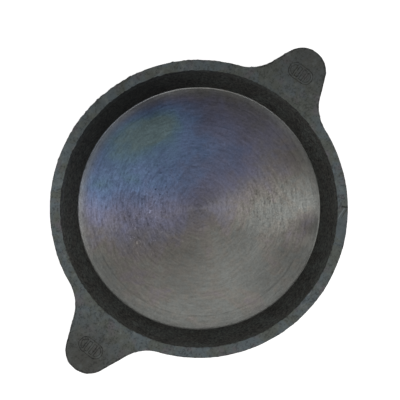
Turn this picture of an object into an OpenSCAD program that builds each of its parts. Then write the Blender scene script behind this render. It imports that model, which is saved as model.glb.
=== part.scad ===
// Round cast-iron hearth pan with two lifting ears and a turned floor.
// Millimetres. The origin is on the pan's axis at its underside, +Z is up, and the ears lie along X.

/* [Rim] */
// Outer diameter of the rim
rim_d = 250; // [200:5:300]
// Width of the rim's flat top
rim_w = 8.6; // [7:0.2:12]
// Thickness of the rim flange
rim_t = 7; // [5:0.5:9]
// Radius of the rim's outer edges
rim_edge_r = 1.2; // [0.6:0.2:2]

/* [Bowl] */
// Height from the underside to the rim's top
pan_h = 46; // [40:1:60]
// Thickness of the side wall, measured level
wall_t = 5.6; // [4.5:0.2:6.4]
// Thickness of the floor at its centre
floor_t = 6; // [5:0.5:9]
// Radius of the outer corner between the side wall and the underside
heel_r = 7; // [4:0.5:10]
// Radius of the corner under the rim flange
flange_fillet_r = 2.2; // [1:0.2:2.6]

/* [Turned floor] */
// Radius of the turned face, out to the foot of the side wall
turned_r = 106.7; // [100:0.1:108]
// Depth of the turned skin below the face
skin_t = 1.6; // [1:0.2:2.4]
// Radius of the hollow curve at the edge of the turned face
hollow_r = 25; // [15:1:40]
// Width of that curve, measured level
hollow_w = 4.5; // [3:0.5:10]
// Width of the steep shoulder where the cut meets the side wall
shoulder_w = 0.6; // [0.3:0.1:1]
// Height of that shoulder
shoulder_h = 0.9; // [0.3:0.1:1.2]

/* [Ears] */
// Reach of the short ear from the pan's axis
short_ear_reach = 164.3; // [155:0.1:175]
// Reach of the long ear from the pan's axis
long_ear_reach = 169.8; // [155:0.1:175]
// Thickness of both ears
ear_t = 6.4; // [5:0.2:7]
// Radius of the round end of an ear
ear_tip_r = 20; // [17:0.5:23]
// Angle between an ear's flank and its centre line
ear_flare = 22.6; // [18:0.2:26]
// Radius of the hollow between an ear and the rim
ear_fillet_r = 36; // [28:0.5:40]
// Angle by which each ear stands off the X axis
ear_skew = 0.5; // [0:0.1:2]

/* [Ear panels] */
// Length of the raised oval line on an ear, across the ear
panel_l = 22; // [20:0.5:28]
// Width of the raised oval, along the ear
panel_w = 12.5; // [11:0.5:16]
// Width of its raised line and of the bars inside it
panel_line = 1.4; // [1:0.1:2]
// Height of the raised lines
panel_h = 0.6; // [0.4:0.1:1]
// Distance from the oval's centre to the end of the ear
panel_inset = 22.5; // [20:0.5:30]
// Spacing of the bars inside the oval
bar_pitch = 4.6; // [3.6:0.1:5]

/* [Gate scar] */
// Direction of the ground spot on the rim, turned from the short ear
scar_angle = -59; // [-75:1:-50]
// Length of the ground spot along the rim
scar_l = 30; // [20:1:40]
// Width of the ground spot, in from the rim's edge
scar_w = 6.5; // [4:0.1:8]
// Slope of the ground spot, down to the outside
scar_slope = 14; // [8:1:20]

/* [Hidden] */

$fn = 180;
arc_steps = 8;
bar_count = 3;
iron_grey = "#4c5453";
iron_black = "#272726";
turned_grey = "#67656a";
panel_grey = "#3d4342";

rim_r = rim_d / 2;
mouth_r = rim_r - rim_w;
flange_z = pan_h - rim_t;
base_t = floor_t - skin_t;
flat_r = turned_r - shoulder_w - hollow_w;
hollow_z = floor_t + hollow_r - sqrt(hollow_r ^ 2 - hollow_w ^ 2);
shoulder_z = hollow_z + shoulder_h;
wall_slope = (mouth_r - turned_r) / (pan_h - shoulder_z);
wall_angle = atan(wall_slope);

// Radius of the side wall's inner face at a height
function inner_r(z) = turned_r + (z - shoulder_z) * wall_slope;
// Radius of the side wall's outer face at a height
function outer_r(z) = inner_r(z) + wall_t;
// Points of an arc, from one angle to another
function arc(centre, r, from, to) =
    [for (i = [0 : arc_steps]) centre + r * [for (a = [from + (to - from) * i / arc_steps]) each [cos(a), sin(a)]]];

// Centre of the arc that joins the underside to the outer face
heel_x = outer_r(heel_r) - heel_r / cos(wall_angle);
// Centre of the arc that joins the outer face to the flange's underside
fillet_z = flange_z - flange_fillet_r;
fillet_x = outer_r(fillet_z) + flange_fillet_r / cos(wall_angle);

// Everything below the flange except the turned skin
module bowl() {
    rotate_extrude() polygon(concat(
        [[0, 0]],
        arc([heel_x, heel_r], heel_r, -90, -wall_angle),
        arc([fillet_x, fillet_z], flange_fillet_r, 180 - wall_angle, 90),
        [[inner_r(flange_z), flange_z],
         [turned_r, shoulder_z],
         [turned_r, base_t],
         [0, base_t]]
    ));
}

module base() {
    color(iron_black) intersection() {
        bowl();
        cylinder(h = base_t, r = rim_r);
    }
}

module side_wall() {
    color(iron_black) difference() {
        bowl();
        translate([0, 0, -base_t]) cylinder(h = 2 * base_t, r = rim_r);
    }
}

module turned_floor() {
    color(turned_grey) translate([0, 0, base_t]) cylinder(h = skin_t, r = flat_r);
}

// The hollow curve and the shoulder round the flat of the floor
module turned_cove() {
    color(turned_grey) rotate_extrude() polygon(concat(
        [[flat_r, base_t],
         [turned_r, base_t],
         [turned_r, shoulder_z]],
        arc([flat_r, floor_t + hollow_r], hollow_r, -90 + asin(hollow_w / hollow_r), -90)
    ));
}

// Where the pouring gate was ground off: a flat cut that slopes down to the rim's edge
module gate_scar() {
    rotate(scar_angle) translate([rim_r - scar_w, 0, pan_h]) rotate([0, scar_slope, 0])
        translate([0, -scar_l / 2, 0]) cube([2 * rim_w, scar_l, rim_t]);
}

module rim() {
    e = rim_edge_r;
    color(iron_grey) difference() {
        rotate_extrude() polygon(concat(
            [[inner_r(flange_z), flange_z]],
            arc([rim_r - e, flange_z + e], e, -90, 0),
            arc([rim_r - e, pan_h - e], e, 0, 90),
            [[mouth_r, pan_h]]
        ));
        gate_scar();
    }
}

// Outline of an ear that points along +X: a round end, two flared flanks, and a hollow on each side that runs into
// the rim. All the joins are tangent.
module ear_outline(reach) {
    tip_x = reach - ear_tip_r;
    normal = [sin(ear_flare), cos(ear_flare)];
    along = [cos(ear_flare), -sin(ear_flare)];
    tip_touch = [tip_x, 0] + ear_tip_r * normal;
    // The hollow's centre is ear_fillet_r from the flank and from the rim
    off_flank = tip_x * normal.x + ear_tip_r + ear_fillet_r;
    hollow_centre = off_flank * normal + sqrt((rim_r + ear_fillet_r) ^ 2 - off_flank ^ 2) * along;
    flank_touch = hollow_centre - ear_fillet_r * normal;
    rim_touch = hollow_centre * rim_r / (rim_r + ear_fillet_r);
    difference() {
        union() {
            translate([tip_x, 0]) circle(ear_tip_r);
            polygon([tip_touch, flank_touch, rim_touch,
                     [rim_touch.x, -rim_touch.y], [flank_touch.x, -flank_touch.y], [tip_touch.x, -tip_touch.y]]);
        }
        for (side = [1, -1]) translate([hollow_centre.x, side * hollow_centre.y]) circle(ear_fillet_r);
        circle(rim_r);
    }
}

module ear(reach) {
    translate([0, 0, pan_h - ear_t]) linear_extrude(ear_t) ear_outline(reach);
}

// A bar with round ends, lying across the X axis
module slot_shape(length, width) {
    square([width, length - width], center = true);
    for (side = [1, -1]) translate([0, side * (length - width) / 2]) circle(d = width);
}

// A plain raised oval line with bars across it
module ear_panel(reach) {
    translate([reach - panel_inset, 0, pan_h]) linear_extrude(panel_h) {
        difference() {
            slot_shape(panel_l, panel_w);
            slot_shape(panel_l - 2 * panel_line, panel_w - 2 * panel_line);
        }
        for (i = [0 : bar_count - 1])
            translate([0, (i - (bar_count - 1) / 2) * bar_pitch])
                square([panel_w - panel_line, panel_line], center = true);
    }
}

module short_ear() {
    color(iron_grey) rotate(ear_skew) ear(short_ear_reach);
}

module long_ear() {
    color(iron_grey) rotate(180 - ear_skew) ear(long_ear_reach);
}

module short_ear_panel() {
    color(panel_grey) rotate(ear_skew) ear_panel(short_ear_reach);
}

module long_ear_panel() {
    color(panel_grey) rotate(180 - ear_skew) ear_panel(long_ear_reach);
}

base();
turned_floor();
turned_cove();
side_wall();
rim();
short_ear();
long_ear();
short_ear_panel();
long_ear_panel();
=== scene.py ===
# Two-eared cast-iron pan: grey rim and ears, black as-cast wall and outside, turned floor with heat tints.
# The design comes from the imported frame. Every visible piece is a numpy grid put straight into a mesh.
import math

import bpy
import numpy as np
from mathutils import Matrix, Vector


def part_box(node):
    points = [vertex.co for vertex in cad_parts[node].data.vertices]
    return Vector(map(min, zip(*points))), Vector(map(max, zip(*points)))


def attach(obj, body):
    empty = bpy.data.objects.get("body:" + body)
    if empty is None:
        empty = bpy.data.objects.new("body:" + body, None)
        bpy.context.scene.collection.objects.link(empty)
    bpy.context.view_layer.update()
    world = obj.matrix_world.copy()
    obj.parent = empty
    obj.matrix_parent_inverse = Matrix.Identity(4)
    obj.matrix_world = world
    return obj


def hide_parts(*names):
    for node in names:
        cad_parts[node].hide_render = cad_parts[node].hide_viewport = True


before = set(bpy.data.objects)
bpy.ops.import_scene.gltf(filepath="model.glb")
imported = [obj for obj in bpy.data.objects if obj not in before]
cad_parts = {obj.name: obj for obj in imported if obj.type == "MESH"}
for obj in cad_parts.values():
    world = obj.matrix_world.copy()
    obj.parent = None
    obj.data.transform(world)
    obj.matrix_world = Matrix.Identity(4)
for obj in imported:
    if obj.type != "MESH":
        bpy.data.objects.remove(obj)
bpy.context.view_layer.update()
mm = 0.001

# Driving sizes, from the frame where it gives them
floorLow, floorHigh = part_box("turned_floor")
rimLow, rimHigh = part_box("rim")
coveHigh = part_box("turned_cove")[1]
flatR, floorZ, baseZ = floorHigh.x, floorHigh.z, floorLow.z
turnedR, coveZ = coveHigh.x, coveHigh.z
rimR, rimZ, flangeZ = rimHigh.x, rimHigh.z, rimLow.z
casting = {
    "rimWidth": 8.6 * mm,
    "wallThickness": 5.6 * mm,
    "heelR": 7 * mm,
    "filletR": 2.2 * mm,
    "coarseGrain": 9 * mm,      # spacing of the casting's slow unevenness
    "coarseHeight": 0.13 * mm,
    "fineGrain": 3 * mm,        # spacing of the smaller lumps
    "fineHeight": 0.05 * mm,
}
mouthR = rimR - casting["rimWidth"]
wallSlope = (mouthR - turnedR) / (rimZ - coveZ)
wallAngle = math.atan(wallSlope)


def innerR(z):
    # Radius of the wall's inner face at a height: a straight line from the cove to the mouth
    return turnedR + (z - coveZ) * wallSlope


def outerR(z):
    return innerR(z) + casting["wallThickness"]


# ---- noise, profiles and meshes ----

def latticeNoise(points, size, seed):
    # Smooth noise from -1 to 1: a random number at each corner of a cubic lattice with cells of the given
    # size, blended across the cell by 3t^2 - 2t^3. The whole numbers below only scramble the corner's place.
    cell = points / size + seed * 31.7
    corner = np.floor(cell).astype(np.int64)
    t = cell - corner
    t = t * t * (3 - 2 * t)
    total = np.zeros(points.shape[:-1])
    for step in np.ndindex(2, 2, 2):
        key = (corner + step) @ np.array([73856093, 19349663, 83492791]) + seed * 97531
        key = ((key ^ (key >> 13)) * 1274126177) & 0x7fffffff
        number = ((key ^ (key >> 11)) & 0xffff) / 32767.5 - 1
        total += number * np.prod(np.where(step, t, 1 - t), axis=-1)
    return total


def castHeight(points):
    # How far the as-cast skin stands proud of the drawing: slow unevenness plus smaller lumps
    return (latticeNoise(points, casting["coarseGrain"], 1) * casting["coarseHeight"]
            + latticeNoise(points, casting["fineGrain"], 2) * casting["fineHeight"])


def arc(centreR, centreZ, radius, start, end, count):
    # Points on a circular arc in the profile plane, angles in degrees, with their outward normals
    a = np.radians(np.linspace(start, end, count))
    c, s = np.cos(a), np.sin(a)
    return np.stack([centreR + radius * c, centreZ + radius * s, c, s], axis=1)


def line(start, end, count):
    # Points on a straight profile line, ends included, with the normal on its right-hand side
    t = np.linspace(0, 1, count)[:, None]
    start, end = np.array(start), np.array(end)
    along = (end - start) / np.linalg.norm(end - start)
    return np.hstack([start + (end - start) * t, np.tile([along[1], -along[0]], (count, 1))])


def turn(profile, angles):
    # Surface of revolution: each profile point (r, z) is carried round to (r cos a, r sin a, z).
    # Gives the points and the normals as grids of [angle, row].
    r, z, nr, nz = profile.T
    c, s = np.cos(angles)[:, None], np.sin(angles)[:, None]
    level = np.ones((len(angles), 1))
    return np.stack([c * r, s * r, level * z], axis=-1), np.stack([c * nr, s * nr, level * nz], axis=-1)


def addMesh(name, points, faces, look, sharpAngle=50):
    mesh = bpy.data.meshes.new(name)
    mesh.from_pydata(points, [], faces)
    mesh.update()
    # The divergence theorem gives the signed volume: a negative one means that the faces point inwards
    mesh.calc_loop_triangles()
    corners = points[np.array([t.vertices[:] for t in mesh.loop_triangles])]
    if np.einsum("ij,ij->", np.cross(corners[:, 0], corners[:, 1]), corners[:, 2]) < 0:
        mesh.flip_normals()
    mesh.shade_smooth()
    mesh.set_sharp_from_angle(angle=math.radians(sharpAngle))
    mesh.materials.append(look)
    piece = bpy.data.objects.new(name, mesh)
    bpy.context.scene.collection.objects.link(piece)
    print(name, len(mesh.loop_triangles), "triangles")
    return piece


def ringFaces(columns, rows, closedRows):
    # Quads of a grid that closes round its columns, and round its rows too when closedRows is set
    i = np.arange(columns)[:, None]
    j = np.arange(rows if closedRows else rows - 1)[None, :]
    nextI, nextJ = (i + 1) % columns, (j + 1) % rows
    quads = np.stack([i * rows + j, nextI * rows + j, nextI * rows + nextJ, i * rows + nextJ], axis=-1)
    return quads.reshape(-1, 4)


def addRing(name, grid, look):
    # A closed ring: the grid wraps both ways, like a torus
    columns, rows = grid.shape[:2]
    return addMesh(name, grid.reshape(-1, 3), ringFaces(columns, rows, True).tolist(), look)


def addDisc(name, grid, firstZ, lastZ, look):
    # A closed disc: the grid's first and last rows are drawn together at a pole on the axis, one at each end
    columns, rows = grid.shape[:2]
    points = np.vstack([grid.reshape(-1, 3), [[0, 0, firstZ], [0, 0, lastZ]]])
    i = np.arange(columns)
    nextI = (i + 1) % columns
    first, last = columns * rows, columns * rows + 1
    fans = [np.stack([np.full(columns, first), nextI * rows, i * rows], axis=1),
            np.stack([np.full(columns, last), i * rows + rows - 1, nextI * rows + rows - 1], axis=1)]
    faces = ringFaces(columns, rows, False).tolist() + fans[0].tolist() + fans[1].tolist()
    return addMesh(name, points, faces, look)


def evenAngles(count):
    # Angles once round the axis, in radians
    return np.arange(count) * (2 * math.pi / count)


# ---- materials ----

class Wire:
    # A node's output, with which sums, differences and products can be written; each adds a Math node
    def __init__(self, look, socket):
        self.look = look
        self.socket = socket

    def math(self, operation, *values):
        return self.look.node("ShaderNodeMath", {"operation": operation}, dict(enumerate((self, *values))))

    def __add__(self, other):
        return self.math("ADD", other)

    def __mul__(self, other):
        return self.math("MULTIPLY", other)

    def __sub__(self, other):
        return self.math("SUBTRACT", other)

    def __rsub__(self, other):
        return self.look.node("ShaderNodeMath", {"operation": "SUBTRACT"}, {0: other, 1: self})

    __radd__ = __add__
    __rmul__ = __mul__


class Look:
    # A material, or the world; every node in it is made by node()
    def __init__(self, owner, shader, constants):
        owner.use_nodes = True
        self.owner = owner
        self.tree = owner.node_tree
        self.shader = self.tree.nodes[shader]
        for socket, value in constants.items():
            self.shader.inputs[socket].default_value = value

    def node(self, kind, settings=None, values=None, output=0):
        made = self.tree.nodes.new(kind)
        for key, value in (settings or {}).items():
            if key == "stops":
                self.setStops(made.color_ramp, value)
            else:
                setattr(made, key, value)
        for key, value in (values or {}).items():
            self.feed(made.inputs[key], value)
        return Wire(self, made.outputs[output])

    def setStops(self, ramp, stops):
        while len(ramp.elements) < len(stops):
            ramp.elements.new(0.5)
        for element, (place, colour) in zip(ramp.elements, stops):
            element.position = place
            element.color = (*colour, 1)

    def feed(self, socket, value):
        if isinstance(value, Wire):
            self.tree.links.new(value.socket, socket)
        else:
            socket.default_value = value

    def place(self):
        return self.node("ShaderNodeTexCoord", output="Object")

    def flatten(self, place):
        return self.node("ShaderNodeVectorMath", {"operation": "MULTIPLY"}, {0: place, 1: (1, 1, 0)})

    def shift(self, place, offset):
        return self.node("ShaderNodeVectorMath", {"operation": "ADD"}, {0: place, 1: offset})

    def scale(self, colour, amount):
        return self.node("ShaderNodeVectorMath", {"operation": "SCALE"}, {0: colour, "Scale": amount})

    def length(self, place):
        return self.node("ShaderNodeVectorMath", {"operation": "LENGTH"}, {0: place}, output=1)

    def height(self, place):
        return self.node("ShaderNodeSeparateXYZ", None, {0: place}, 2)

    def patches(self, flat, spots):
        # Sum of soft oval patches, each fading from its strength in the middle to nothing at its reach. A
        # spot's direction and tilt are in degrees, its distance and reach are parts of the floor's radius.
        total = 0.0
        for spot in spots:
            a = math.radians(spot["direction"])
            away = turnedR * spot["distance"]
            local = self.node("ShaderNodeMapping", {"vector_type": "TEXTURE"}, {
                "Vector": flat, "Location": (away * math.cos(a), away * math.sin(a), 0),
                "Rotation": (0, 0, math.radians(spot["tilt"])),
                "Scale": (turnedR * spot["reach"][0], turnedR * spot["reach"][1], 1)})
            total = total + self.spread(self.length(local), 1, 0, 0, spot["strength"])
        return total

    def noise(self, vector, size, detail=2, roughness=0.5, distortion=0):
        # Noise from 0 to 1 with features about size metres apart
        return self.node("ShaderNodeTexNoise", None, {"Vector": vector, "Scale": 1 / size, "Detail": detail,
                                                      "Roughness": roughness, "Distortion": distortion})

    def spread(self, value, low, high, toLow=0.0, toHigh=1.0):
        # Maps low..high to toLow..toHigh smoothly and holds it there outside
        return self.node("ShaderNodeMapRange", {"interpolation_type": "SMOOTHSTEP"},
                         {0: value, 1: low, 2: high, 3: toLow, 4: toHigh})

    def ramp(self, value, stops):
        return self.node("ShaderNodeValToRGB", {"stops": stops}, {0: value})

    def mix(self, factor, first, second):
        values = {0: factor, 6: self.colour(first), 7: self.colour(second)}
        return self.node("ShaderNodeMix", {"data_type": "RGBA"}, values, 2)

    def colour(self, value):
        return (*value, 1) if isinstance(value, tuple) else value

    def bump(self, height, distance):
        return self.node("ShaderNodeBump", None, {"Height": height, "Distance": distance, "Strength": 1.0})

    def finish(self, **inputs):
        for name, value in inputs.items():
            self.feed(self.shader.inputs[name.replace("_", " ")], value)
        return self.owner


def surface(name, constants):
    return Look(bpy.data.materials.new(name), "Principled BSDF", constants)


sand = {
    "cloud": 14 * mm,              # sizes of the slow change in colour, the grain and the small lumps
    "grain": 2.2 * mm,
    "lumps": 2.6 * mm,
    "warmFlecks": (0.180, 0.178, 0.158),
    "coolFlecks": (0.166, 0.180, 0.164),
    "pits": (0.010, 0.010, 0.010),
    "outside": 0.55,               # how much blacker the wall's outer face is
    "relief": 0.6 * mm,
    # Painted shade: a broad patch that darkens one side of the black skin
    "paintedShade": [{"direction": 68, "distance": 1.15, "reach": (1.5, 1.5), "tilt": 0, "strength": 0.75}],
}


def sandBlack(look, place, cloud, grain):
    # Colour of the as-cast skin: near-black sand grain, darker on one side by painted shade, and blacker on
    # the outside
    flecks = look.mix(look.spread(cloud, 0.40, 0.60), sand["warmFlecks"], sand["coolFlecks"])
    colour = look.mix(look.spread(grain + cloud * 0.25, 0.36, 1.00), sand["pits"], flecks)
    flat = look.flatten(place)
    # Painted shade that darkens one side
    paintedShade = look.patches(flat, sand["paintedShade"])
    # Distance from the axis, less the wall's slope: the outside begins within the wall's thickness
    depth = look.length(flat) - look.height(place) * wallSlope
    outer = look.spread(depth, innerR(0) + 2 * mm, innerR(0) + 4 * mm, 0, sand["outside"])
    return look.scale(colour, (1 - paintedShade) * (1 - outer))


def blackSkin():
    # The wall's and the base's as-cast skin: sand grain with small lumps under it
    look = surface("castBlack", {"Metallic": 0.0, "Specular IOR Level": 0.35})
    place = look.place()
    cloud = look.noise(place, sand["cloud"], 3)
    grain = look.noise(place, sand["grain"], 3, 0.7)
    height = grain * 0.9 + look.noise(place, sand["lumps"], 2) * 0.7
    return look.finish(Base_Color=sandBlack(look, place, cloud, grain),
                       Roughness=look.spread(cloud, 0.3, 0.7, 0.62, 0.78),
                       Normal=look.bump(height, sand["relief"]))


rubbed = {
    "patch": 16 * mm,              # sizes of the noises, from slow to fine
    "warmth": 12 * mm,
    "mottle": 6 * mm,
    "grain": 1.9 * mm,
    "green": (0.050, 0.056, 0.048),
    "blue": (0.054, 0.068, 0.074),
    "violet": (0.066, 0.062, 0.067),
    "earEnd": (0.060, 0.061, 0.054),
    "rubbedPale": (0.092, 0.102, 0.098),
    "specks": (0.028, 0.031, 0.028),
    "rimShine": 2.75,              # brightness of the rim and of the ears against the colours above
    "earShine": 2.5,
    "relief": 0.4 * mm,
    # Colour of the scar's dark start line and of the painted shade behind its burr
    "scarLineAndShade": (0.012, 0.014, 0.013),
    "scarFacet": ((0.105, 0.135, 0.150), (0.145, 0.175, 0.195)),
    "scarBurr": (0.270, 0.300, 0.300),
    # Where the skin is darker: painted shade on one side of the rim and duller ear ends; a negative strength
    # paints light on another side
    "shadeAndDull": [
        {"direction": 22, "distance": 1.30, "reach": (1.60, 1.60), "tilt": 0, "strength": 0.80},
        {"direction": 82, "distance": 1.20, "reach": (0.85, 0.85), "tilt": 0, "strength": 0.70},
        {"direction": 122, "distance": 1.20, "reach": (0.60, 0.60), "tilt": 0, "strength": -0.50},
        {"direction": 0, "distance": 1.48, "reach": (0.30, 0.34), "tilt": 0, "strength": 0.50},
        {"direction": 180, "distance": 1.50, "reach": (0.38, 0.42), "tilt": 0, "strength": 0.90},
    ],
    # Where it takes the ear ends' colour
    "ends": [
        {"direction": 0, "distance": 1.48, "reach": (0.45, 0.45), "tilt": 0, "strength": 0.7},
        {"direction": 180, "distance": 1.52, "reach": (0.50, 0.50), "tilt": 0, "strength": 1.0},
    ],
}


def rimSkin():
    # Rubbed as-cast skin: grey-green on the top faces, black inside and below, bare where the gate was ground
    look = surface("castGrey", {"Metallic": 0.0, "Specular IOR Level": 0.45})
    place = look.place()
    flat = look.flatten(place)
    patch = look.noise(place, rubbed["patch"], 3, 0.6, 0.6)
    mottle = look.noise(place, rubbed["mottle"], 4, 0.65)
    grain = look.noise(place, rubbed["grain"], 3, 0.7)
    warmth = look.noise(look.shift(place, (0.4, 0.2, 0.3)), rubbed["warmth"], 2, 0.5)
    skin = look.mix(look.spread(patch, 0.40, 0.62), rubbed["green"], rubbed["blue"])
    skin = look.mix(look.spread(warmth, 0.52, 0.72), skin, rubbed["violet"])
    skin = look.mix(look.patches(flat, rubbed["ends"]), skin, rubbed["earEnd"])
    skin = look.mix(look.spread(mottle, 0.50, 0.80), skin, rubbed["rubbedPale"])
    shine = look.spread(look.length(flat), rimR, rimR + 8 * mm, rubbed["rimShine"], rubbed["earShine"])
    # Painted shade and painted light on the rim's top, and duller ear ends
    skin = look.scale(skin, shine - look.patches(flat, rubbed["shadeAndDull"]))
    speck = look.spread(grain + (mottle - 0.5) * 0.6, 0.50, 0.34, 0.0, 0.6)
    skin = look.mix(speck, skin, rubbed["specks"])
    # The "top" attribute is 1 on the rubbed top faces and falls to 0 where the skin stays black; painted
    # shade lowers it along the outline's edge and on the ear marks' flanks
    top = look.node("ShaderNodeAttribute", {"attribute_name": "top"}, output="Fac")
    exposed = look.spread(top + (mottle - 0.5) * 0.5 + (grain - 0.5) * 0.5, 0.35, 0.65)
    colour = look.mix(exposed, sandBlack(look, place, patch, grain), skin)
    # The "ground" attribute: the scar's dark start line and the painted shade behind its burr are below 0,
    # its facet up to 1 and its burr above 1
    ground = look.node("ShaderNodeAttribute", {"attribute_name": "ground"}, output="Fac")
    bare = look.mix(look.spread(mottle, 0.3, 0.7), *rubbed["scarFacet"])
    colour = look.mix(look.spread(ground, 0, 1, 0, 0.65), colour, bare)
    colour = look.mix(look.spread(ground, 1.2, 2, 0, 0.9), colour, rubbed["scarBurr"])
    colour = look.mix(look.spread(ground, -0.2, -1, 0, 0.9), colour, rubbed["scarLineAndShade"])
    height = grain * 0.8 + mottle * 1.2
    return look.finish(Base_Color=colour, Roughness=look.spread(mottle, 0.3, 0.7, 0.50, 0.66),
                       Normal=look.bump(height, rubbed["relief"]))


turned = {
    "coveR": 25 * mm,              # radius of the curve at the floor's edge
    "shoulderWidth": 0.6 * mm,
    # How far a tool mark runs round the floor, and how wide it is: fine marks, coarse scours and slow rings
    "fine": (10 * mm, 1.9 * mm),
    "scour": (5 * mm, 2.6 * mm),
    "rings": (160 * mm, 3.4 * mm),
    "sway": 8 * mm,                # how far the scours wander
    "cloud": 22 * mm,              # sizes of the noises
    "mottle": 7 * mm,
    "grain": 1.9 * mm,
    "blotch": 34 * mm,
    "loop": 8 * mm,
    "pore": 3.0 * mm,
    "glintSize": 2.4 * mm,
    "stepR": 95 * mm,              # where the tool left a faint line
    "reflectance": 0.210,
    "relief": 0.11 * mm,
    # Where the floor was heated, or stayed cooler with a negative strength
    "heatSpots": [
        {"direction": 71, "distance": 0.77, "reach": (0.60, 0.24), "tilt": -26, "strength": 0.55},
        {"direction": 83, "distance": 0.61, "reach": (1.50, 0.85), "tilt": -40, "strength": 0.66},
        {"direction": 117, "distance": 0.84, "reach": (0.20, 0.34), "tilt": -53, "strength": 0.12},
        {"direction": 187, "distance": 0.45, "reach": (0.75, 0.62), "tilt": -53, "strength": 0.04},
        {"direction": 37, "distance": 0.98, "reach": (0.30, 0.55), "tilt": 37, "strength": -0.08},
        {"direction": -67, "distance": 0.84, "reach": (0.40, 0.20), "tilt": -53, "strength": 0.07},
    ],
    # Where it is darker: patina, and painted shade broadest over one side; lighter with a negative strength
    "patinaAndShade": [
        {"direction": 33, "distance": 1.15, "reach": (1.70, 1.50), "tilt": -53, "strength": 0.66},
        {"direction": 103, "distance": 0.95, "reach": (0.42, 0.42), "tilt": 0, "strength": 0.22},
        {"direction": -26, "distance": 0.95, "reach": (0.42, 0.42), "tilt": 0, "strength": 0.30},
        {"direction": -77, "distance": 0.93, "reach": (0.38, 0.38), "tilt": 0, "strength": 0.32},
        {"direction": 151, "distance": 0.93, "reach": (0.42, 0.42), "tilt": 0, "strength": 0.22},
        {"direction": 124, "distance": 0.60, "reach": (0.30, 0.25), "tilt": 0, "strength": 0.25},
        {"direction": 4, "distance": 0.18, "reach": (1.20, 0.90), "tilt": -53, "strength": 0.12},
        {"direction": -61, "distance": 0.92, "reach": (0.24, 0.17), "tilt": -53, "strength": 0.45},
        {"direction": 65, "distance": 0.97, "reach": (0.24, 0.24), "tilt": 0, "strength": 0.22},
        {"direction": 168, "distance": 0.46, "reach": (0.85, 0.60), "tilt": 0, "strength": 0.30},
        {"direction": 0, "distance": 0.0, "reach": (0.34, 0.30), "tilt": 0, "strength": 0.10},
        {"direction": 52, "distance": 0.65, "reach": (0.30, 0.30), "tilt": 0, "strength": -0.14},
        {"direction": -98, "distance": 0.85, "reach": (0.34, 0.34), "tilt": 0, "strength": 0.20},
        {"direction": 2, "distance": 0.90, "reach": (0.32, 0.30), "tilt": 0, "strength": 0.10},
        {"direction": 172, "distance": 0.88, "reach": (0.35, 0.35), "tilt": 0, "strength": 0.14},
        {"direction": 86, "distance": 1.00, "reach": (0.16, 0.50), "tilt": 86, "strength": 0.18},
        {"direction": -157, "distance": 0.41, "reach": (0.40, 0.30), "tilt": -53, "strength": 0.13},
        {"direction": 154, "distance": 0.56, "reach": (0.34, 0.28), "tilt": -53, "strength": 0.11},
        {"direction": -2, "distance": 0.50, "reach": (0.34, 0.26), "tilt": -53, "strength": 0.07},
        {"direction": 22, "distance": 0.56, "reach": (0.24, 0.20), "tilt": 22, "strength": -0.12},
        {"direction": -77, "distance": 0.76, "reach": (0.22, 0.20), "tilt": -53, "strength": 0.12},
        {"direction": -157, "distance": 0.66, "reach": (0.34, 0.18), "tilt": -53, "strength": 0.11},
        {"direction": -91, "distance": 0.41, "reach": (0.22, 0.22), "tilt": 0, "strength": 0.11},
        {"direction": 114, "distance": 0.74, "reach": (0.20, 0.20), "tilt": 0, "strength": 0.07},
    ],
    # Where the tool marks are stronger in bump and colour, or weaker with a negative strength; the stronger
    # colour streaks on the two sides facing the side lights are painted glints
    "worn": [
        {"direction": 127, "distance": 0.55, "reach": (0.80, 0.55), "tilt": -53, "strength": 0.55},
        {"direction": -53, "distance": 0.62, "reach": (0.60, 0.42), "tilt": -53, "strength": 0.50},
        {"direction": -130, "distance": 0.70, "reach": (0.80, 0.60), "tilt": -53, "strength": -0.14},
    ],
    # Where it is pitted
    "pitted": [
        {"direction": 100, "distance": 0.37, "reach": (0.22, 0.34), "tilt": -53, "strength": 1.0},
        {"direction": -50, "distance": 0.62, "reach": (0.50, 0.30), "tilt": -53, "strength": 0.4},
    ],
    # Where painted glints show as bright specks
    "glintSpots": [
        {"direction": 139, "distance": 0.49, "reach": (0.22, 0.36), "tilt": -53, "strength": 1.0},
        {"direction": 165, "distance": 0.50, "reach": (0.60, 0.40), "tilt": -53, "strength": 0.3},
    ],
    # Where the corner at its edge carries a painted highlight, strongest on one side
    "paintedEdgeHighlight": [
        {"direction": 42, "distance": 1.05, "reach": (1.80, 1.50), "tilt": -53, "strength": 3.5},
        {"direction": -62, "distance": 1.00, "reach": (0.30, 0.60), "tilt": -62, "strength": 3.0},
    ],
    # Temper colours from cold to hot, as shares of the bare iron's reflectance
    "temper": [
        (0.00, (0.98, 1.01, 0.955)),
        (0.05, (1.05, 1.00, 0.90)),
        (0.10, (1.07, 0.98, 0.97)),
        (0.18, (1.01, 0.98, 1.13)),
        (0.26, (0.99, 0.97, 1.28)),
        (0.35, (0.92, 0.97, 1.43)),
        (0.45, (0.82, 0.98, 1.54)),
        (0.56, (0.73, 1.02, 1.72)),
        (0.70, (0.68, 1.05, 1.60)),
        (0.85, (0.69, 1.08, 1.36)),
        (1.00, (0.77, 1.09, 1.17)),
    ],
}


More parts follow.
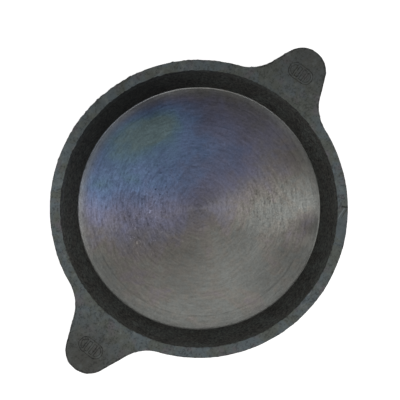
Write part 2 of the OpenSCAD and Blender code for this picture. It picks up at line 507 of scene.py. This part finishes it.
def turnedSkin():
    # Lathe-turned bare iron: fine concentric tool marks, dark pores, and heat tints on one side
    look = surface("turnedIron", {"Metallic": 1.0, "Anisotropic": 0.8, "Anisotropic Rotation": 0.25})
    place = look.place()
    flat = look.flatten(place)
    radius = look.length(flat)

    def marks(size, warp, seed):
        # Noise drawn out round the axis: it changes slowly with place and quickly with radius
        length, width = size
        axes = [look.node("ShaderNodeSeparateXYZ", None, {0: flat}, i) for i in (0, 1)]
        turnings = look.node("ShaderNodeCombineXYZ", None, {
            0: axes[0] * (1 / length) + seed, 1: axes[1] * (1 / length), 2: (radius + warp) * (1 / width)})
        return look.noise(turnings, 1, 2, 0.6)

    cloud = look.noise(place, turned["cloud"], 3, 0.55, 0.6)
    mottle = look.noise(place, turned["mottle"], 4, 0.65)
    grain = look.noise(place, turned["grain"], 3, 0.65)
    fine = marks(turned["fine"], 0.0, 0.0)
    scour = marks(turned["scour"], (mottle - 0.5) * turned["sway"], 7.0)
    rings = marks(turned["rings"], 0.0, 3.0)

    # Heat picks the temper colour, except near the edge, where the metal stayed cold
    heat = look.patches(flat, turned["heatSpots"])
    heat = heat * (1 + (cloud - 0.5) * 0.8)
    heat = heat + (mottle - 0.5) * 0.16 + (scour - 0.5) * 0.06
    heat = heat + look.spread(look.noise(flat, turned["blotch"], 3, 0.6, 0.8), 0.45, 0.68, 0, 0.09)
    nearEdge = look.spread(radius, turnedR * 0.90, turnedR, 0, 0.75)
    tint = look.mix(nearEdge, look.ramp(heat, turned["temper"]), turned["temper"][0][1])

    # Brightness: patina with painted shade, faint loops in the hottest parts, and the tool marks
    worn = look.patches(flat, turned["worn"]) + 0.7
    # Patina and painted shade darken the colour
    bright = 1 - look.patches(flat, turned["patinaAndShade"]) + (cloud - 0.5) * 0.35
    contour = (look.noise(flat, turned["loop"], 1, 0.5, 1.6) - 0.5).math("ABSOLUTE")
    loops = look.spread(contour, 0.03, 0.005)
    bright = bright * (1 + loops * look.spread(heat, 0.2, 0.5) * 0.16)
    # In the worn patches the tool marks' colour contrast is partly a painted glint
    bright = bright * (1 + ((fine - 0.5) * 1.0 + (scour - 0.5) * 1.2 + (grain - 0.5) * 1.0) * worn)

    # Dark pores, painted glints, the tool's last line and a painted highlight on the corner at the floor's
    # edge
    pores = look.spread(look.noise(place, turned["pore"], 1), 0.62, 0.74, 0, 0.6)
    pores = pores * look.patches(flat, turned["pitted"])
    # Painted glints: bright specks in the colour, also raised a little in the bump
    paintedGlints = look.spread(look.noise(place, turned["glintSize"], 1), 0.66, 0.76, 0, 1.3)
    paintedGlints = paintedGlints * look.patches(flat, turned["glintSpots"])
    step = look.spread((radius - turned["stepR"]).math("ABSOLUTE"), 0.9 * mm, 0.2 * mm, 0, 0.15)
    # Painted highlight on the corner at the floor's edge, brightest on one side
    paintedEdgeHighlight = look.patches(flat, turned["paintedEdgeHighlight"]) + 0.3
    corner = look.spread(radius, turnedR - 0.9 * mm, turnedR - 0.5 * mm) * paintedEdgeHighlight
    bright = bright * (1 - pores + paintedGlints - step) + corner
    colour = look.scale(tint, bright * turned["reflectance"])
    height = (fine * 0.6 + scour * 0.9 + grain * 0.6 + pores * -1.0 + paintedGlints * 0.6) * worn + rings * 0.3
    return look.finish(Base_Color=colour, Roughness=look.spread(scour + cloud * 0.5, 0.4, 1.1, 0.28, 0.42),
                       Normal=look.bump(height, turned["relief"]))


print("materials")
castBlack = blackSkin()
castGrey = rimSkin()
turnedIron = turnedSkin()

# ---- rim and ears: one sweep round the outline ----

ears = {
    "shortReach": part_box("short_ear")[1].x,
    "longReach": -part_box("long_ear")[0].x,
    "thickness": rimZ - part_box("short_ear")[0].z,
    "tipR": 20 * mm,
    "flare": math.radians(22.6),
    "hollowR": 36 * mm,
    "skew": math.radians(0.5),
    "lipR": 0.8 * mm,              # edge radii: the mouth's lip, the outline's top and its underside
    "topEdgeR": 1.1 * mm,
    "lowEdgeR": 1.3 * mm,
    "edgeShadeWidth": 2 * mm,            # width of the painted shade along the outline's edge
    "flashZ": rimZ - 1.9 * mm,     # height of the mould's parting line
    "flashHeight": 1.4 * mm,
    "flashTurn": math.radians(60), # where the flash is heaviest
    "ragged": 0.45 * mm,           # how ragged the mouth's edge is
    "scarAngle": math.radians(-59),
    "scarWidth": 6.5 * mm,         # what the scar widens by, from its narrow end
    "scarNarrow": 3 * mm,
    "scarLength": 30 * mm,
    "scarSlope": math.radians(12),
    "chip": math.radians(-90),     # where the mouth's edge is chipped, with the chip's reach and stretch
    "chipReach": 1.7 * mm,
    "chipStretch": 3.2,
}


def earRadius(angle, reach):
    # Distance from the pan's axis to an ear's outline at an angle from its centre line: a round end, a
    # straight flank and a hollow that runs into the rim, each cut by a ray from the axis
    angle = np.abs(angle)
    tipX = reach - ears["tipR"]
    normal = np.array([math.sin(ears["flare"]), math.cos(ears["flare"])])
    along = np.array([math.cos(ears["flare"]), -math.sin(ears["flare"])])
    hollow = ears["hollowR"]
    tipTouch = np.array([tipX, 0]) + ears["tipR"] * normal
    offFlank = tipX * normal[0] + ears["tipR"] + hollow
    centre = offFlank * normal + math.sqrt((rimR + hollow) ** 2 - offFlank ** 2) * along
    flankTouch = centre - hollow * normal
    ray = np.stack([np.cos(angle), np.sin(angle)], axis=-1)
    tip = tipX * ray[:, 0] + np.sqrt(np.maximum(ears["tipR"] ** 2 - (tipX * ray[:, 1]) ** 2, 0))
    flank = (tipX * normal[0] + ears["tipR"]) / (ray @ normal)
    nearest = ray @ centre
    curve = nearest - np.sqrt(np.maximum(nearest ** 2 - centre @ centre + hollow ** 2, 0))
    edges = [math.atan2(p[1], p[0]) for p in (tipTouch, flankTouch, centre)]
    return np.select([angle < edges[0], angle < edges[1], angle < edges[2]], [tip, flank, curve], rimR)


def fromAxis(angles, axis):
    # Angle from an axis, between minus and plus half a turn
    return (angles - axis + math.pi) % (2 * math.pi) - math.pi


def outlineRadius(angles):
    # The outline is the farther of the two ears' own, which are the plain rim away from each ear
    short = earRadius(fromAxis(angles, ears["skew"]), ears["shortReach"])
    long = earRadius(fromAxis(angles, math.pi - ears["skew"]), ears["longReach"])
    return np.maximum(short, long)


def rimAngles():
    # Angles once round the rim, in degrees, closer together at the ears and at the gate scar
    ear, scar, plain = 0.26, 0.20, 0.36
    stretches = [(-23, 23, ear), (23, 157, plain), (157, 203, ear),
                 (203, 291, plain), (291, 311, scar), (311, 337, plain)]
    parts = [np.linspace(low, high, round((high - low) / spacing), endpoint=False)
             for low, high, spacing in stretches]
    return np.radians(np.concatenate(parts))


def smooth(value, low, high):
    # From 0 at low to 1 at high by 3t^2 - 2t^3
    t = np.clip((value - low) / (high - low), 0, 1)
    return t * t * (3 - 2 * t)


def makeRim():
    # The same rows of points at every angle: up the mouth and over its lip, out across the top, round the
    # outline's edge and back underneath. Between mouth and outline they are spaced by shares of the width.
    angles = rimAngles()
    radius = outlineRadius(angles)
    edge = np.stack([radius * np.cos(angles), radius * np.sin(angles)], axis=-1)
    along = np.roll(edge, -1, axis=0) - np.roll(edge, 1, axis=0)
    along /= np.linalg.norm(along, axis=1, keepdims=True)
    outward = np.stack([along[:, 1], -along[:, 0]], axis=-1)
    ray = np.stack([np.cos(angles), np.sin(angles)], axis=-1)
    count = len(angles)
    lowZ = flangeZ + (rimZ - ears["thickness"] - flangeZ) * smooth(radius, rimR, rimR + 3 * mm)
    sections, normals, tops = [], [], []

    def add(flat, z, flatNormal, zNormal, top):
        # One row of points: flat places and normals for each angle, with the height
        sections.append(np.column_stack([flat, np.broadcast_to(z, count)]))
        normals.append(np.column_stack([flatNormal, np.broadcast_to(zNormal, count)]))
        tops.append(np.broadcast_to(top, count))

    lip = ears["lipR"]
    lipCentre = innerR(rimZ - lip) + lip
    for z in np.linspace(flangeZ, rimZ - lip, 5):
        add(ray * innerR(z), z, -ray * math.cos(wallAngle), math.sin(wallAngle), 0.0)
    for a in np.radians(np.linspace(150, 90, 4)):
        add(ray * (lipCentre + lip * math.cos(a)), rimZ - lip + lip * math.sin(a),
            ray * math.cos(a), math.sin(a), 0.35 + 0.65 * math.sin(a))
    mouth = ray * lipCentre
    e = ears["topEdgeR"]
    inset = edge - outward * e
    wide = np.linalg.norm(inset - mouth, axis=1)
    # Painted shade: the top darkens in a border along the outline's edge, more on the ears, and down over the
    # edge's round
    shade = 0.5 + 0.5 * smooth(radius, rimR + 1 * mm, rimR + 8 * mm)
    for t in np.linspace(0, 1, 42)[1:]:
        edgeShade = shade * smooth((1 - t) * wide, ears["edgeShadeWidth"], 0)
        add(mouth + (inset - mouth) * t, rimZ, ray * 0, 1.0, 1 - 0.6 * edgeShade)
    for a in np.radians(np.linspace(90, 0, 6))[1:]:
        add(inset + outward * e * math.cos(a), rimZ - e + e * math.sin(a),
            outward * math.cos(a), math.sin(a), 0.6 * math.sin(a))
    f = ears["lowEdgeR"]
    highEdge, lowEdge = rimZ - e, lowZ + f
    for t in np.linspace(0, 1, 10)[1:]:
        add(edge, highEdge + (lowEdge - highEdge) * t, outward, 0.0, 0.2)
    underInset = edge - outward * f
    for a in np.radians(np.linspace(0, -90, 5))[1:]:
        add(underInset + outward * f * math.cos(a), lowZ + f + f * math.sin(a),
            outward * math.cos(a), math.sin(a), 0.2)
    root = ray * filletCentreR
    for t in np.linspace(0, 1, 10)[1:]:
        flat = underInset + (root - underInset) * t
        z = flangeZ + (lowZ - flangeZ) * smooth(np.linalg.norm(flat, axis=1), rimR - 2 * mm, rimR + 3 * mm)
        add(flat, z, ray * 0, -1.0, 0.15)
    grid = np.stack(sections, axis=1)
    normal = np.stack(normals, axis=1)
    grid = grid + normal * castHeight(grid)[..., None]
    # The mouth's edge is a little ragged
    nearMouth = np.exp(-((np.linalg.norm(grid[..., :2], axis=-1) - mouthR) / (1.2 * mm)) ** 2)
    nearTop = grid[..., 2] > rimZ - 1.5 * mm
    wander = nearMouth * nearTop * latticeNoise(grid, 2.2 * mm, 8) * ears["ragged"]
    grid = grid + wander[..., None] * np.concatenate([ray, ray[:, :1] * 0], axis=1)[:, None, :]
    # Ragged flash along the parting line, heaviest on one side
    teeth = latticeNoise(grid, 2.0 * mm, 5) * 0.7 + latticeNoise(grid, 4.5 * mm, 6) * 0.35
    side = 0.5 + 0.5 * np.exp(-(fromAxis(angles, ears["flashTurn"]) / 0.75) ** 2)[:, None]
    upright = np.hypot(normal[..., 0], normal[..., 1])
    fin = np.exp(-((grid[..., 2] - ears["flashZ"]) / (0.5 * mm)) ** 2) * upright
    isEdge = np.linalg.norm(grid[..., :2], axis=-1) > rimR - 2 * mm
    push = np.clip(teeth + 0.15, 0, 1) * side * fin * isEdge * ears["flashHeight"]
    grid = grid + normal * push[..., None]
    grid, ground = grindScar(grid)
    rim = addRing("rimAndEars", grid, castGrey)
    for name, values in (("top", np.stack(tops, axis=1)), ("ground", ground)):
        layer = rim.data.attributes.new(name, "FLOAT", "POINT")
        layer.data.foreach_set("value", values.astype(np.float32).ravel())
    return rim


def grindScar(grid):
    # Brings every point above the ground plane down to it, and gives the "ground" attribute. The plane slopes
    # down outwards, and it widens from its sharp start until it lifts clear at the other end.
    across = np.array([math.cos(ears["scarAngle"]), math.sin(ears["scarAngle"])])
    along = grid[..., 1] * across[0] - grid[..., 0] * across[1]
    half = ears["scarLength"] / 2
    width = ears["scarNarrow"] + ears["scarWidth"] * np.clip((half - along) / (12 * mm), 0, 1)
    radius = np.hypot(grid[..., 0], grid[..., 1])
    out = radius - (rimR - width)
    plane = rimZ - out * math.tan(ears["scarSlope"]) + latticeNoise(grid, 5 * mm, 9) * 0.08 * mm
    plane = plane + smooth(along, half - 0.3 * mm, half + 0.3 * mm) * 6 * mm
    plane = plane + smooth(along, -half + 8 * mm, -half - 6 * mm) * 3 * mm
    outside = (grid[..., :2] @ across > mouthR * 0.8) & (grid[..., 2] > flangeZ + 3 * mm)
    above = grid[..., 2] - plane
    cut = np.where(outside, np.clip(above, 0, None), 0)
    lowered = grid.copy()
    lowered[..., 2] -= cut
    isTop = outside & (grid[..., 2] > rimZ - 0.5 * mm) & (np.abs(along) < half)
    burr = isTop * np.exp(-(above / (0.2 * mm)) ** 2) * smooth(along, half - 18 * mm, half - 12 * mm)
    lowered[..., 2] += burr * 0.1 * mm
    # A dark line across the start, and painted shade that runs from it behind the burr
    start = smooth(np.abs(along - half - 0.2 * mm), 1.1 * mm, 0.3 * mm) * (out > -2.5 * mm) * outside
    # Painted shade along the burr's outer side
    shadeBehindBurr = smooth(np.abs(above - 0.55 * mm), 0.3 * mm, 0) * isTop
    shadeBehindBurr = shadeBehindBurr * smooth(along, half - 12 * mm, half - 7 * mm)
    start = np.maximum(start, shadeBehindBurr * 0.7)
    # The chip is coloured like the burr: an oval drawn out along the mouth's edge
    arcLength = fromAxis(np.arctan2(grid[..., 1], grid[..., 0]), ears["chip"]) * mouthR / ears["chipStretch"]
    fromChip = np.hypot(np.hypot(arcLength, radius - mouthR), grid[..., 2] - rimZ)
    burr = np.maximum(burr, smooth(fromChip, ears["chipReach"], 0.6 * mm))
    facet = smooth(cut, 0.02 * mm, 0.12 * mm)
    return lowered, np.where(start > 0.3, -start, np.maximum(facet, burr * 2))


# ---- side wall and base ----

filletCentreR = outerR(flangeZ - casting["filletR"]) + casting["filletR"] / math.cos(wallAngle)
heelCentreR = outerR(casting["heelR"]) - casting["heelR"] / math.cos(wallAngle)
heelCut = -math.degrees(math.asin((casting["heelR"] - baseZ) / casting["heelR"]))


def makeWall():
    # A closed ring: round the heel, up the outer face and its fillet to the flange, and down the inner face
    heel, fillet = casting["heelR"], casting["filletR"]
    wallDegrees = math.degrees(wallAngle)
    outer = arc(heelCentreR, heel, heel, heelCut, -wallDegrees, 5)
    inner = line((innerR(flangeZ), flangeZ), (innerR(baseZ), baseZ), 50)
    bend = arc(filletCentreR, flangeZ - fillet, -fillet, -wallDegrees, -90, 7)
    straight = line(outer[-1, :2], bend[0, :2], 38)
    profile = np.vstack([outer, straight[1:-1], bend, inner])
    points, normals = turn(profile, evenAngles(660))
    points = points + normals * castHeight(points)[..., None]
    return addRing("sideWall", points, castBlack)


def makeBase():
    # A closed disc: out along the underside, up round the heel, and back in under the turned floor
    heel = casting["heelR"]
    under = line((0.8 * mm, 0), (heelCentreR, 0), 66)
    corner = arc(heelCentreR, heel, heel, -90, heelCut, 6)[1:]
    top = line(corner[-1, :2], (0.8 * mm, baseZ), 8)[1:]
    points, normals = turn(np.vstack([under, corner, top]), evenAngles(540))
    # The underside stands on its highest lumps, so they are never lower than the drawing
    height = castHeight(points)
    height = np.where(normals[..., 2] < -0.99, np.minimum(height - 0.1 * mm, 0), height)
    height = np.where(normals[..., 2] > 0.9, 0, height)
    points = points + normals * height[..., None]
    return addDisc("base", points, points[0, 0, 2], baseZ, castBlack)


# ---- turned floor ----

def makeFloor():
    # A closed disc: out along the flat, up the cove and its shoulder, down the side and back in underneath
    cove = turned["coveR"]
    coveWidth = turnedR - turned["shoulderWidth"] - flatR
    flat = line((0.7 * mm, floorZ), (flatR, floorZ), 132)
    sweep = math.degrees(math.asin(coveWidth / cove))
    curve = arc(flatR, floorZ + cove, cove, -90, -90 + sweep, 12)[1:]
    shoulder = line(curve[-1, :2], (turnedR, coveZ), 4)[1:]
    side = line((turnedR, coveZ), (turnedR, baseZ), 3)[1:]
    bottom = line((turnedR, baseZ), (0.7 * mm, baseZ), 8)[1:]
    points = turn(np.vstack([flat, curve, shoulder, side, bottom]), evenAngles(560))[0]
    return addDisc("turnedFloor", points, floorZ, baseZ, turnedIron)


# ---- ear marks: a plain oval line and three bars, cast in soft relief ----

earMark = {
    "length": 22 * mm,             # of the oval, across the ear
    "width": 12.5 * mm,
    "lineWidth": 1.7 * mm,
    "wander": 0.22 * mm,           # how far the lines stray
    "inset": 22.5 * mm,            # from the oval's centre to the ear's end
    "barPitch": 4.6 * mm,
    "relief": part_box("short_ear_panel")[1].z - rimZ - 0.15 * mm,
    "sunk": 0.06 * mm,             # how far the patch between the lines lies below the ear's top
    "step": 0.3 * mm,
}


def makeEarMark(name, reach, axis):
    # Height over a flat grid: each line is a rounded ridge that falls away by 3t^2 - 2t^3 with the distance
    # from its middle. The oval is a stadium: a distance from a straight piece, less its radius.
    mark = earMark
    halfU, halfV = mark["width"] / 2 + 1 * mm, mark["length"] / 2 + 1 * mm
    steps = [np.arange(-half, half, mark["step"]) for half in (halfU, halfV)]
    u, v = np.meshgrid(*steps, indexing="ij")
    turnU = np.array([math.cos(axis), math.sin(axis)])
    turnV = np.array([-math.sin(axis), math.cos(axis)])
    flat = (reach - mark["inset"] + u)[..., None] * turnU + v[..., None] * turnV
    points = np.concatenate([flat, np.full(u.shape + (1,), rimZ)], axis=-1)
    wander = latticeNoise(points, 2.5 * mm, 12) * mark["wander"]
    ovalR = (mark["width"] - mark["lineWidth"]) / 2
    straight = (mark["length"] - mark["width"]) / 2
    fromOval = np.hypot(u, np.maximum(np.abs(v) - straight, 0)) - ovalR
    bar = np.abs((v + mark["barPitch"] / 2) % mark["barPitch"] - mark["barPitch"] / 2)
    isBar = (np.abs(v) < 1.5 * mark["barPitch"]) & (fromOval < 0)
    away = np.minimum(np.abs(fromOval), np.where(isBar, bar, 1)) + wander
    ridge = smooth(away, mark["lineWidth"] * 0.95, mark["lineWidth"] * 0.15)
    worn = 0.75 + 0.25 * latticeNoise(points, 4 * mm, 13)
    points[..., 2] += castHeight(points) - mark["sunk"] + ridge * worn * mark["relief"]
    return addPatch(name, points, ridge, castGrey)


def addPatch(name, grid, crest, look):
    # A closed slab: the grid, a skirt dropped from its border, and one face underneath. The crests of the
    # lines are the most rubbed and their flanks darker by painted shade, which the "top" attribute tells the
    # material.
    rows, columns = grid.shape[:2]
    full = np.pad(grid, ((1, 1), (1, 1), (0, 0)), mode="edge")
    depth = np.zeros(full.shape[:2])
    depth[[0, -1]], depth[:, [0, -1]] = 1 * mm, 1 * mm
    full[..., 2] -= depth
    wide = columns + 2             # points in one row of the padded grid
    i, j = np.meshgrid(np.arange(rows + 1), np.arange(columns + 1), indexing="ij")
    first = (i * wide + j).ravel()
    quads = np.stack([first, first + 1, first + wide + 1, first + wide], axis=1)
    number = np.arange(full.shape[0] * wide).reshape(-1, wide)
    border = np.concatenate([number[0, :-1], number[:-1, -1], number[-1, :0:-1], number[:0:-1, 0]])
    piece = addMesh(name, full.reshape(-1, 3), quads.tolist() + [border[::-1].tolist()], look, 60)
    layer = piece.data.attributes.new("top", "FLOAT", "POINT")
    # Painted shade: the lines' flanks are darker than their rubbed crests
    top = np.pad(0.30 + 0.4 * smooth(crest, 0.6, 1.0), 1, mode="edge")
    layer.data.foreach_set("value", top.astype(np.float32).ravel())
    return piece


rim = makeRim()
wall = makeWall()
base = makeBase()
floor = makeFloor()
shortMark = makeEarMark("shortEarMark", ears["shortReach"], ears["skew"])
longMark = makeEarMark("longEarMark", ears["longReach"], math.pi - ears["skew"])

for piece, nodes, slotName in (
    (rim, ["rim", "short_ear", "long_ear"], "dressed_iron"),
    (wall, ["side_wall"], "as_cast_iron"),
    (base, ["base"], "as_cast_iron"),
    (floor, ["turned_floor", "turned_cove"], "turned_iron"),
    (shortMark, ["short_ear_panel"], "dressed_iron"),
    (longMark, ["long_ear_panel"], "dressed_iron"),
):
    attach(piece, "root")
    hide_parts(*nodes)

# ---- floor, light and camera ----

studio = {
    "turn": math.radians(-52.6),   # the camera's right-hand side, turned from the short ear
    "distance": 0.75,              # from the camera down to the rim
    "frameWidth": 0.3349,          # width of the view at the rim
    "offset": (0.95 * mm, 7.45 * mm),
    "floorSize": 40.0,
    "glow": 0.85,                  # light from the floor itself, which hides the pan's shadow
    "horizon": (1.0, 1.0, 1.0),
    "zenith": (0.115, 0.115, 0.115),
    # Soft lights: name, direction and elevation in degrees, distance, size and power
    "lights": [
        ("sideRight", 1, 65, 1.5, (0.3, 0.3), 1.5),
        ("sideLeft", 180, 60, 1.5, (0.5, 0.5), 0.4),
        ("overhead", -90, 80, 1.8, (1.3, 1.1), 5.4),
    ],
}


def studioFloor():
    # A wide pale plane under the pan
    half = studio["floorSize"] / 2
    corners = [(-half, -half, 0), (half, -half, 0), (half, half, 0), (-half, half, 0)]
    mesh = bpy.data.meshes.new("paleFloor")
    mesh.from_pydata(corners, [], [(0, 1, 2, 3)])
    look = surface("palePaper", {
        "Base Color": (0.9, 0.9, 0.9, 1), "Roughness": 0.9, "Specular IOR Level": 0.1,
        "Emission Color": (1, 1, 1, 1), "Emission Strength": studio["glow"]})
    mesh.materials.append(look.owner)
    plane = bpy.data.objects.new("paleFloor", mesh)
    bpy.context.scene.collection.objects.link(plane)


def softLight(name, direction, elevation, distance, size, power):
    # A soft light that faces the pan. Its direction is measured from the camera's right-hand side.
    a = studio["turn"] + math.radians(direction)
    e = math.radians(elevation)
    lamp = bpy.data.lights.new(name, "AREA")
    lamp.shape = "RECTANGLE"
    lamp.size, lamp.size_y = size
    lamp.energy = power
    holder = bpy.data.objects.new(name, lamp)
    bpy.context.scene.collection.objects.link(holder)
    back = Matrix.Rotation(a, 4, "Z") @ Matrix.Rotation(math.pi / 2 - e, 4, "Y")
    holder.matrix_world = back @ Matrix.Translation((0, 0, distance))


def paleWorld():
    # A light tent: pale round the horizon and darker overhead
    world = bpy.data.worlds.new("studio")
    look = Look(world, "Background", {"Strength": 1.0})
    height = look.height(look.node("ShaderNodeTexCoord", output="Generated"))
    sky = look.mix(look.spread(height, 0.05, 0.6), studio["horizon"], studio["zenith"])
    look.finish(Color=sky)
    bpy.context.scene.world = world


def addCamera():
    # Looks straight down. The lens is sensor width x distance / width of the view.
    data = bpy.data.cameras.new("camera")
    data.sensor_width = 36
    data.lens = 36 * studio["distance"] / studio["frameWidth"]
    camera = bpy.data.objects.new("camera", data)
    bpy.context.scene.collection.objects.link(camera)
    right, up = studio["offset"]
    camera.matrix_world = (Matrix.Rotation(studio["turn"], 4, "Z")
                           @ Matrix.Translation((right, up, rimZ + studio["distance"])))
    bpy.context.scene.camera = camera


print("studio")
studioFloor()
paleWorld()
for light in studio["lights"]:
    softLight(*light)
addCamera()
bpy.context.scene.view_settings.view_transform = "Standard"
